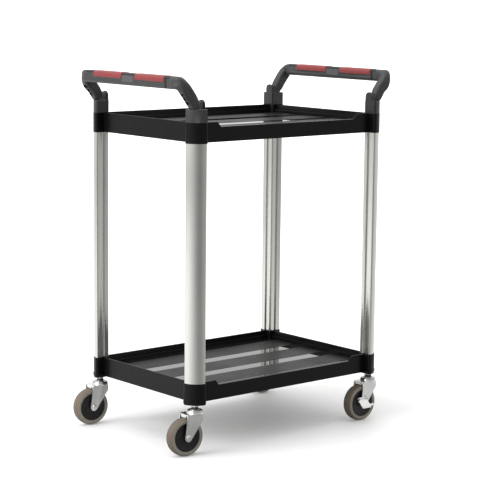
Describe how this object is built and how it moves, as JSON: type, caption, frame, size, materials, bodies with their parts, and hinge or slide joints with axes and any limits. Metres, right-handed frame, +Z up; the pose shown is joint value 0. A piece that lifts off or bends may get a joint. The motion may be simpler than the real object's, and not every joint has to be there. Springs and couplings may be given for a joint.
{
  "type": "service trolley",
  "caption": "Service trolley with raised-rim trays on aluminium corner columns, arched push handles with soft grips at both ends, and swivel casters, one end braked.",
  "frame": {"origin": "on the floor, under the middle of the bounding box", "axes": "+Z up, +X along the length towards the braked casters, +Y from the low-lipped front side to the back"},
  "size_m": [0.7942, 0.5345, 1.0095],
  "materials": {
    "shelf_plastic": "satin black moulded polypropylene, glossy and fine-grained floor bands",
    "anodised_aluminium": "satin anodised extrusion",
    "zinc_steel": "bright zinc plate",
    "handle_plastic": "fine-grained dark grey glass-filled nylon",
    "cover_plastic": "fine-grained dark grey",
    "black_trim": "soft black",
    "clip_plastic": "plain grey",
    "red_soft_grip": "soft matt red",
    "hub_plastic": "near-black nylon",
    "grey_tyre": "warm grey non-marking rubber"
  },
  "bodies": {
    "frame": {"top_shelf": "shelf_plastic", "bottom_shelf": "shelf_plastic", "tie_rods": "zinc_steel", "tie_rod_nuts": "zinc_steel", "front_left_column": "anodised_aluminium", "front_left_caster_socket": "zinc_steel", "front_left_boot_cover": "cover_plastic", "front_left_caster_stem": "zinc_steel", "front_left_swivel_cap": "zinc_steel", "rear_left_column": "anodised_aluminium", "rear_left_caster_socket": "zinc_steel", "rear_left_boot_cover": "cover_plastic", "rear_left_caster_stem": "zinc_steel", "rear_left_swivel_cap": "zinc_steel", "front_right_column": "anodised_aluminium", "front_right_caster_socket": "zinc_steel", "front_right_boot_cover": "cover_plastic", "front_right_caster_stem": "zinc_steel", "front_right_swivel_cap": "zinc_steel", "rear_right_column": "anodised_aluminium", "rear_right_caster_socket": "zinc_steel", "rear_right_boot_cover": "cover_plastic", "rear_right_caster_stem": "zinc_steel", "rear_right_swivel_cap": "zinc_steel", "left_handle_bar": "handle_plastic", "left_handle_front_arm": "handle_plastic", "left_handle_ring": "black_trim", "left_grip_strip": "black_trim", "left_grip_clip": "clip_plastic", "left_grip_pad_front": "red_soft_grip", "left_grip_pad_rear": "red_soft_grip", "right_handle_bar": "handle_plastic", "right_handle_front_arm": "handle_plastic", "right_handle_ring": "black_trim", "right_grip_strip": "black_trim", "right_grip_clip": "clip_plastic", "right_grip_pad_front": "red_soft_grip", "right_grip_pad_rear": "red_soft_grip"},
    "front_left_swivel": {"front_left_fork": "zinc_steel", "front_left_axle": "zinc_steel"},
    "front_left_wheel": {"front_left_wheel_hub": "hub_plastic", "front_left_tyre": "grey_tyre"},
    "rear_left_swivel": {"rear_left_fork": "zinc_steel", "rear_left_axle": "zinc_steel"},
    "rear_left_wheel": {"rear_left_wheel_hub": "hub_plastic", "rear_left_tyre": "grey_tyre"},
    "front_right_swivel": {"front_right_fork": "zinc_steel", "front_right_axle": "zinc_steel", "front_right_brake_pin": "zinc_steel"},
    "front_right_wheel": {"front_right_wheel_hub": "hub_plastic", "front_right_tyre": "grey_tyre"},
    "front_right_brake": {"front_right_brake_pedal": "zinc_steel"},
    "rear_right_swivel": {"rear_right_fork": "zinc_steel", "rear_right_axle": "zinc_steel", "rear_right_brake_pin": "zinc_steel"},
    "rear_right_wheel": {"rear_right_wheel_hub": "hub_plastic", "rear_right_tyre": "grey_tyre"},
    "rear_right_brake": {"rear_right_brake_pedal": "zinc_steel"}
  },
  "joints": [
    {"name": "front_left_swivel_turn", "type": "hinge", "parent": "frame", "child": "front_left_swivel", "pos_m": [-0.31334, -0.2165, 0.11], "axis": [0, 0, 1], "continuous": true},
    {"name": "front_left_wheel_spin", "type": "hinge", "parent": "front_left_swivel", "child": "front_left_wheel", "pos_m": [-0.3452, -0.21343, 0.052], "axis": [-0.0958, -0.9954, 0], "continuous": true},
    {"name": "rear_left_swivel_turn", "type": "hinge", "parent": "frame", "child": "rear_left_swivel", "pos_m": [-0.31334, 0.2165, 0.11], "axis": [0, 0, 1], "continuous": true},
    {"name": "rear_left_wheel_spin", "type": "hinge", "parent": "rear_left_swivel", "child": "rear_left_wheel", "pos_m": [-0.34524, 0.21912, 0.052], "axis": [-0.0819, -0.9966, 0], "continuous": true},
    {"name": "front_right_swivel_turn", "type": "hinge", "parent": "frame", "child": "front_right_swivel", "pos_m": [0.32866, -0.2165, 0.11], "axis": [0, 0, 1], "continuous": true},
    {"name": "front_right_wheel_spin", "type": "hinge", "parent": "front_right_swivel", "child": "front_right_wheel", "pos_m": [0.29666, -0.216, 0.052], "axis": [-0.0157, -0.9999, 0], "continuous": true},
    {"name": "front_right_brake_press", "type": "hinge", "parent": "front_right_swivel", "child": "front_right_brake", "pos_m": [0.28026, -0.24134, 0.069], "axis": [0.9999, -0.0157, 0], "range_deg": [0, 22]},
    {"name": "rear_right_swivel_turn", "type": "hinge", "parent": "frame", "child": "rear_right_swivel", "pos_m": [0.32866, 0.2165, 0.11], "axis": [0, 0, 1], "continuous": true},
    {"name": "rear_right_wheel_spin", "type": "hinge", "parent": "rear_right_swivel", "child": "rear_right_wheel", "pos_m": [0.29666, 0.21594, 0.052], "axis": [0.0175, -0.9998, 0], "continuous": true},
    {"name": "rear_right_brake_press", "type": "hinge", "parent": "rear_right_swivel", "child": "rear_right_brake", "pos_m": [0.28022, 0.24126, 0.069], "axis": [-0.9998, -0.0175, 0], "range_deg": [0, 22]}
  ]
}
